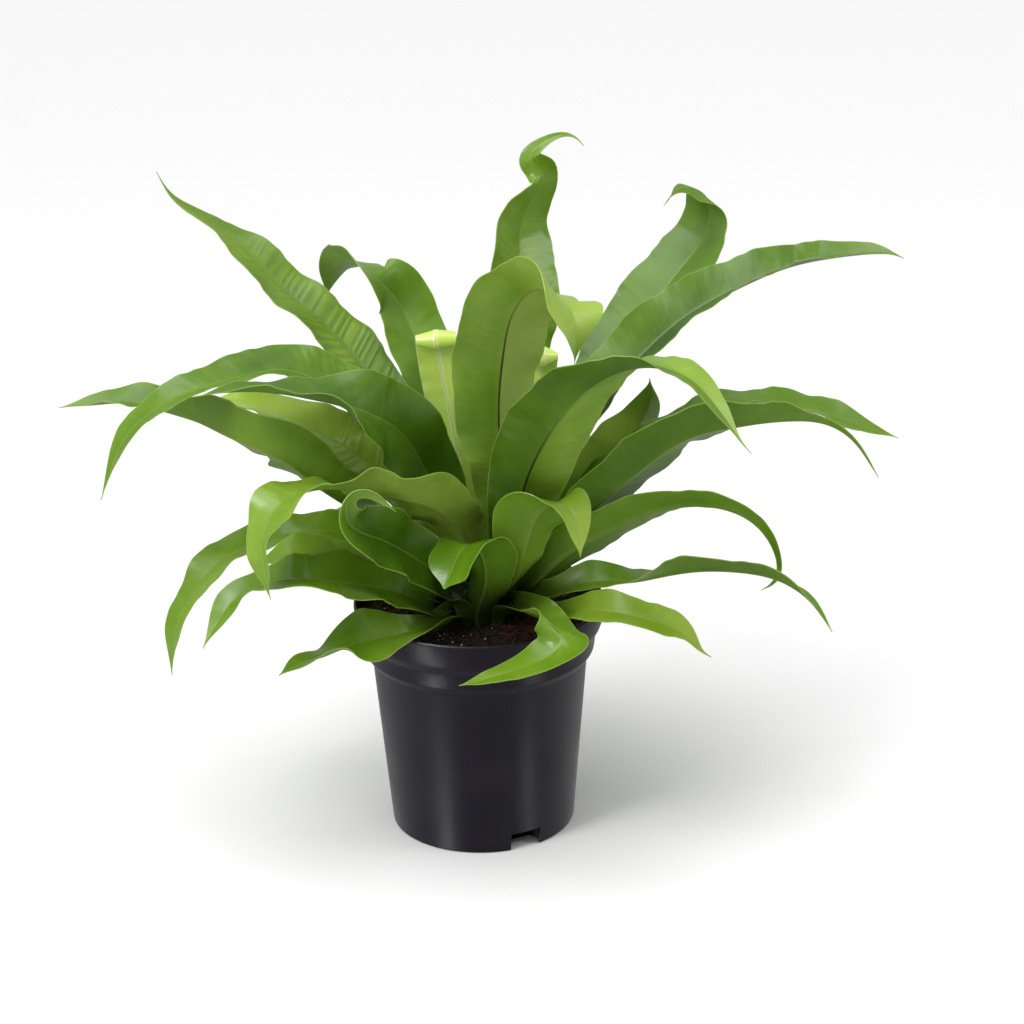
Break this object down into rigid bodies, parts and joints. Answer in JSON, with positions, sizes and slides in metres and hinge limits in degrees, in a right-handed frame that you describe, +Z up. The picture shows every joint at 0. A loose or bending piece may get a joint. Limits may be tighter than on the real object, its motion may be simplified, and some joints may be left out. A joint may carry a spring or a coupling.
{
  "type": "potted japanese birds nest fern",
  "caption": "Bird's nest fern: a nest-like rosette of narrow waved fronds standing in dark peat in a round black nursery pot.",
  "frame": {"origin": "middle of the pot's flat underside", "axes": "+Z up along the pot's axis, -Y towards the front of the plant as pictured, +X to its right"},
  "size_m": [0.5803, 0.385, 0.4588],
  "materials": {
    "frond": "living green leaf blade, waxy satin, paler midrib and thin pale margin",
    "young_frond": "young pale yellow-green leaf blade, glossy",
    "pot": "thin black moulded plastic, satin with soft upright highlights",
    "soil": "loose dark peat with coir fibres and white grit"
  },
  "bodies": {
    "root": {"frond_upper_left": "frond", "frond_back_left_hook": "frond", "frond_left_long": "frond", "frond_left_broad": "frond", "frond_left_shiny": "frond", "frond_left_far": "frond", "frond_front_left_big": "frond", "frond_scoop": "frond", "frond_left_droop": "frond", "frond_left_inner_low": "frond", "frond_left_low": "frond", "frond_rim_left": "frond", "frond_rim_front": "frond", "frond_right_lime": "frond", "frond_right_thin": "frond", "frond_right_hook": "frond", "frond_right_droop": "frond", "frond_right_upper_long": "frond", "frond_front_right_arch": "frond", "frond_upper_right_long": "frond", "frond_upper_right_hook": "frond", "frond_top_twist": "frond", "frond_front_tall": "frond", "frond_small_pointed": "frond", "frond_front_centre_twist": "frond", "frond_front_small_fold": "frond", "frond_crozier_left": "young_frond", "frond_crozier_right": "young_frond", "frond_back_1": "frond", "frond_back_2": "frond", "frond_back_3": "frond", "frond_back_4": "frond", "frond_back_5": "frond", "frond_back_6": "frond", "pot": "pot", "soil": "soil"}
  },
  "joints": []
}
